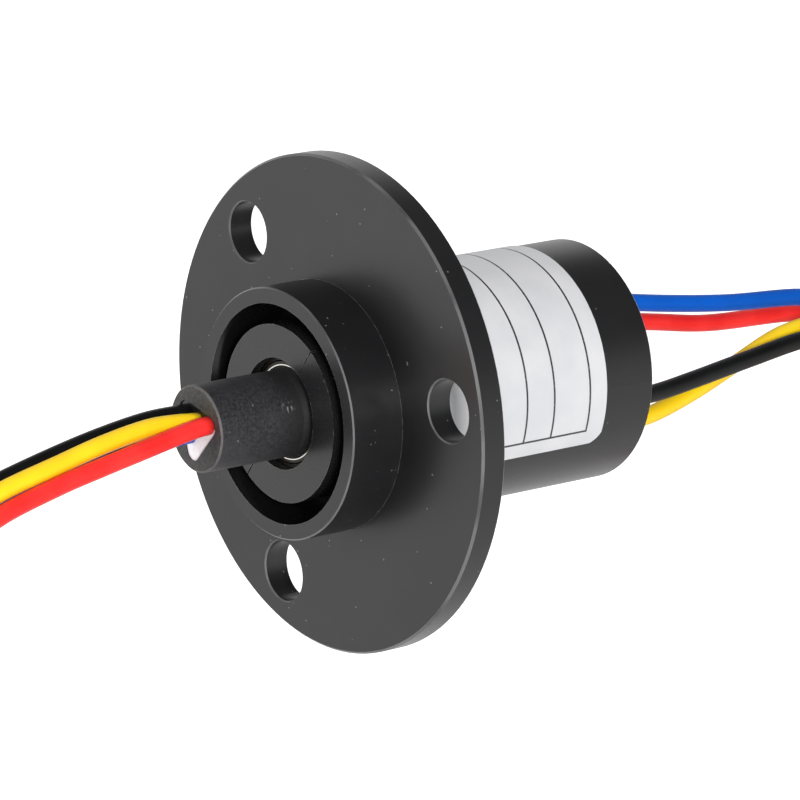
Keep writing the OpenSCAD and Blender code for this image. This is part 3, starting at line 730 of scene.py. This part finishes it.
def label_finish():
    """Silver-white film with a thin printed frame and dividers."""
    material, n, shader, where = new_material("label_film", roughness=0.4, specular=0.5)
    place = use_group(n, AXIAL, Vector=where)
    y, angle = place["Along"], place["Angle"]
    angle = n.math("ADD", angle, n.times(n.math("LESS_THAN", angle, -90.0), 360.0))
    low, high = LABEL_FRAME_ANGLES
    within = n.times(n.math("GREATER_THAN", angle, low), n.math("LESS_THAN", angle, high))
    before_end = n.math("LESS_THAN", y, LABEL_LINES_Y[-1] + LABEL_LINE)

    def printed(value, line, half_width, where_drawn):
        off = n.math("ABSOLUTE", n.math("SUBTRACT", value, line))
        return n.times(n.math("LESS_THAN", off, half_width), where_drawn)

    half_angle = math.degrees(LABEL_LINE / LABEL_R)
    lines = [printed(y, line, LABEL_LINE, within) for line in LABEL_LINES_Y]
    lines += [printed(angle, line, half_angle, before_end) for line in LABEL_FRAME_ANGLES]
    ink = lines[0]
    for line in lines[1:]:
        ink = n.math("MAXIMUM", ink, line)
    cloud = n.noise(where, 220.0, detail=4)
    fibre = n.noise(where, 4200.0)
    film = n.mix(n.ramp(cloud, 0.3, 0.7), (0.56, 0.57, 0.59), (0.62, 0.62, 0.635))
    ink = n.times(ink, n.ramp(fibre, 0.2, 0.45, 0.75, 1.0))
    n.link(n.mix(ink, film, (0.02, 0.02, 0.022)), shader.inputs["Base Color"])
    n.link(n.ramp(cloud, 0.3, 0.7, 0.34, 0.46), shader.inputs["Roughness"])
    bump(n, shader, fibre, 0.003 * MM)
    return material


POTTING_SHADE_Z = 0.5                        # painted shade darkens the white resin above this height, mm
POTTING_SHADE_BLEND = 0.2


def potting_finish(name, colour, shade, shade_above=None):
    """Cast resin with small bubbles and a slow ripple, with painted shade above a height where that
    is given.
    """
    material, n, shader, where = new_material(name, roughness=0.3)
    ripple = n.noise(where, 700.0, detail=3)
    bubbles = use_group(n, DUST, Vector=where, Size=0.25)["Dust"]
    tone = n.mix(n.ramp(ripple, 0.3, 0.7), shade, colour)
    tone = n.mix(n.times(bubbles, 0.4), tone, shade)
    n.link(tone, shader.inputs["Base Color"])
    if shade_above is not None:
        height = n.add("ShaderNodeSeparateXYZ")
        n.link(where, height.inputs[0])
        level = n.math("ADD", n.math("DIVIDE", height.outputs[2], MM), n.times(ripple, 0.3))
        # painted shade over the resin's upper part
        potting_shade = n.ramp(level, shade_above, shade_above + POTTING_SHADE_BLEND)
        overlay(n, shader, potting_shade, colour=(0.006, 0.006, 0.006))
    bump(n, shader, n.math("SUBTRACT", ripple, n.times(bubbles, 0.3)), 0.05 * MM)
    return material


finishes = {
    "housing_metal": housing_finish(),
    "carrier_plastic": carrier_finish(),
    "shaft_plastic": shaft_finish(),
    "cap_plastic": grained_finish("cap_plastic", (0.014, 0.014, 0.015), (0.01, 0.01, 0.011),
                                  (0.12, 0.12, 0.12), grain=0.2, depth=0.002, wear=0.3,
                                  speckle=0.05),
    "barrier_plastic": grained_finish("barrier_plastic", (0.03, 0.03, 0.032), (0.02, 0.02, 0.022),
                                      (0.12, 0.12, 0.12), wear=0.2, dust=0.1),
    "tie_nylon": grained_finish("tie_nylon", (0.012, 0.012, 0.013), (0.009, 0.009, 0.01),
                                (0.08, 0.08, 0.08), grain=0.3, wear=0.2, dust=0.3, speckle=0.05),
    "board_laminate": grained_finish("board_laminate", (0.02, 0.13, 0.06), (0.014, 0.1, 0.045),
                                     (0.3, 0.32, 0.2), wear=0.3, dust=0.1),
    "label_film": label_finish(),
    "potting_white": potting_finish("potting_white", (0.93, 0.91, 0.9), (0.84, 0.8, 0.79),
                                    shade_above=POTTING_SHADE_Z),
    "potting_black": potting_finish("potting_black", (0.012, 0.012, 0.013), (0.008, 0.008, 0.009)),
    "lead_black": insulation_finish("lead_black", (0.004, 0.0045, 0.0045), (0.003, 0.003, 0.003),
                                    gloss=0.2, coat=0.0),
    "lead_yellow": insulation_finish("lead_yellow", (0.93, 0.64, 0.009), (0.9, 0.57, 0.007),
                                     gloss=0.3, coat=0.03),
    "lead_red": insulation_finish("lead_red", (0.87, 0.03, 0.026), (0.79, 0.018, 0.016),
                                  gloss=0.25, coat=0.03),
    "lead_blue": insulation_finish("lead_blue", (0.001, 0.092, 0.5), (0.001, 0.08, 0.43),
                                   gloss=0.15, coat=0.0),
    "lead_bundle": insulation_finish("lead_bundle", (0.4, 0.1, 0.05), (0.3, 0.08, 0.04)),
    "bearing_steel": bearing_ring_finish(),
    "ball_steel": metal_finish("ball_steel", (0.8, 0.8, 0.8), (0.7, 0.7, 0.7), 0.12,
                               marks_per_mm=1.5),
    # the shields' near-black colour is painted shade over steel that sits in the collar's shade
    "shield_steel": metal_finish("shield_steel", (0.035, 0.032, 0.028), (0.018, 0.016, 0.014),
                                 0.3),
    "clip_steel": metal_finish("clip_steel", (0.1, 0.1, 0.1), (0.05, 0.05, 0.05), 0.4),
    "cage_brass": metal_finish("cage_brass", (0.72, 0.5, 0.2), (0.6, 0.4, 0.15), 0.3),
    "ring_gold": metal_finish("ring_gold", (0.9, 0.62, 0.22), (0.75, 0.5, 0.16), 0.18),
    "brush_gold": metal_finish("brush_gold", (0.9, 0.64, 0.26), (0.75, 0.5, 0.16), 0.25),
    "tinned_copper": metal_finish("tinned_copper", (0.62, 0.6, 0.56), (0.45, 0.42, 0.38), 0.35),
}

for row in frame["record"]["subparts"]:
    node = frame["nodes"][row["node"]]
    node.data.materials.clear()
    node.data.materials.append(finishes[row["material_slot"]])

for node, (tube, strands) in leads.items():
    for piece, slot_name in ((tube, lead_slot(node)), (strands, "tinned_copper")):
        piece.data.materials.clear()
        piece.data.materials.append(finishes[slot_name])


# ---------- floor, background and lights ----------

FLOOR_Z = -0.075
FLOOR_HALF = 3
FLOOR_COLOUR = (0.86, 0.86, 0.86, 1)
FLOOR_GLOW = (0.36, 0.75)                   # in mirrors, and as seen by the camera
CEILING_EDGE = (0.25, 0.62)                 # heights between which mirrors see the ceiling begin
CEILING_SLANT = 0.35                        # behind the part the ceiling comes lower towards +X
OVERHEAD_EDGE = (0.35, 0.95)                # heights between which the overhead light begins


def make_floor():
    """A pale floor that takes shadows. Its glow is seen and mirrored but lights nothing."""
    bm = bmesh.new()
    bmesh.ops.create_grid(bm, x_segments=1, y_segments=1, size=FLOOR_HALF)
    bmesh.ops.translate(bm, verts=bm.verts, vec=(0, 0, FLOOR_Z))
    floor = mesh_object("floor", bm, smooth=False)
    material = bpy.data.materials.new("pale_floor")
    material.use_nodes = True
    n = Nodes(material.node_tree)
    shader = material.node_tree.nodes["Principled BSDF"]
    output = material.node_tree.nodes["Material Output"]
    shader.inputs["Base Color"].default_value = FLOOR_COLOUR
    shader.inputs["Roughness"].default_value = 0.9
    shader.inputs["Specular IOR Level"].default_value = 0
    path = n.add("ShaderNodeLightPath").outputs
    glow = n.add("ShaderNodeEmission")
    n.link(n.ramp(path["Is Camera Ray"], 0.0, 1.0, *FLOOR_GLOW, smooth=False),
           glow.inputs["Strength"])
    seen = n.math("MAXIMUM", path["Is Camera Ray"], path["Is Glossy Ray"])
    seen = n.math("MAXIMUM", seen, path["Is Transmission Ray"])
    no_glow = n.add("ShaderNodeEmission")
    no_glow.inputs["Strength"].default_value = 0
    glow_where_seen = n.add("ShaderNodeMixShader")
    n.link(seen, glow_where_seen.inputs[0])
    n.link(no_glow.outputs[0], glow_where_seen.inputs[1])
    n.link(glow.outputs[0], glow_where_seen.inputs[2])
    total = n.add("ShaderNodeAddShader")
    n.link(shader.outputs[0], total.inputs[0])
    n.link(glow_where_seen.outputs[0], total.inputs[1])
    n.link(total.outputs[0], output.inputs["Surface"])
    floor.data.materials.append(material)


def make_world(ambient, overhead, ceiling):
    """White as seen by the camera, and in mirrors white all round with a darker ceiling.

    Other light comes from it at the strength ambient, and overhead at the top.
    """
    world = bpy.data.worlds.new("studio")
    bpy.context.scene.world = world
    world.use_nodes = True
    n = Nodes(world.node_tree)
    background = world.node_tree.nodes["Background"]
    background.inputs["Color"].default_value = (1, 1, 1, 1)
    direction = n.add("ShaderNodeSeparateXYZ")
    n.link(n.add("ShaderNodeTexCoord").outputs["Generated"], direction.inputs[0])
    x, y, z = direction.outputs
    slant = n.ramp(y, -0.4, 0.4, 0.0, CEILING_SLANT)
    mirrored = n.ramp(n.math("ADD", z, n.times(x, slant)), *CEILING_EDGE, 1.0, ceiling)
    soft = n.ramp(z, *OVERHEAD_EDGE, ambient, overhead)
    path = n.add("ShaderNodeLightPath").outputs
    in_mirror = n.math("MAXIMUM", path["Is Glossy Ray"], path["Is Transmission Ray"])
    strength = n.ramp(in_mirror, 0.0, 1.0, soft, mirrored, smooth=False)
    n.link(n.ramp(path["Is Camera Ray"], 0.0, 1.0, strength, 1.0, smooth=False),
           background.inputs["Strength"])


def area_light(name, place, size, power):
    """A square soft light at a place in metres, facing the flange's centre."""
    light = bpy.data.objects.new(name, bpy.data.lights.new(name, "AREA"))
    bpy.context.scene.collection.objects.link(light)
    light.location = place
    light.data.size = size
    light.data.energy = power
    light.rotation_mode = "QUATERNION"
    light.rotation_quaternion = (-Vector(place)).to_track_quat("-Z", "Y")


make_floor()
make_world(ambient=0.16, overhead=0.85, ceiling=0.1)
area_light("key", (0.66, -0.3, 0.16), 0.18, 5.0)
area_light("front", (-0.3, -0.6, 0.12), 0.4, 2.0)
bpy.context.scene.view_settings.view_transform = "Standard"
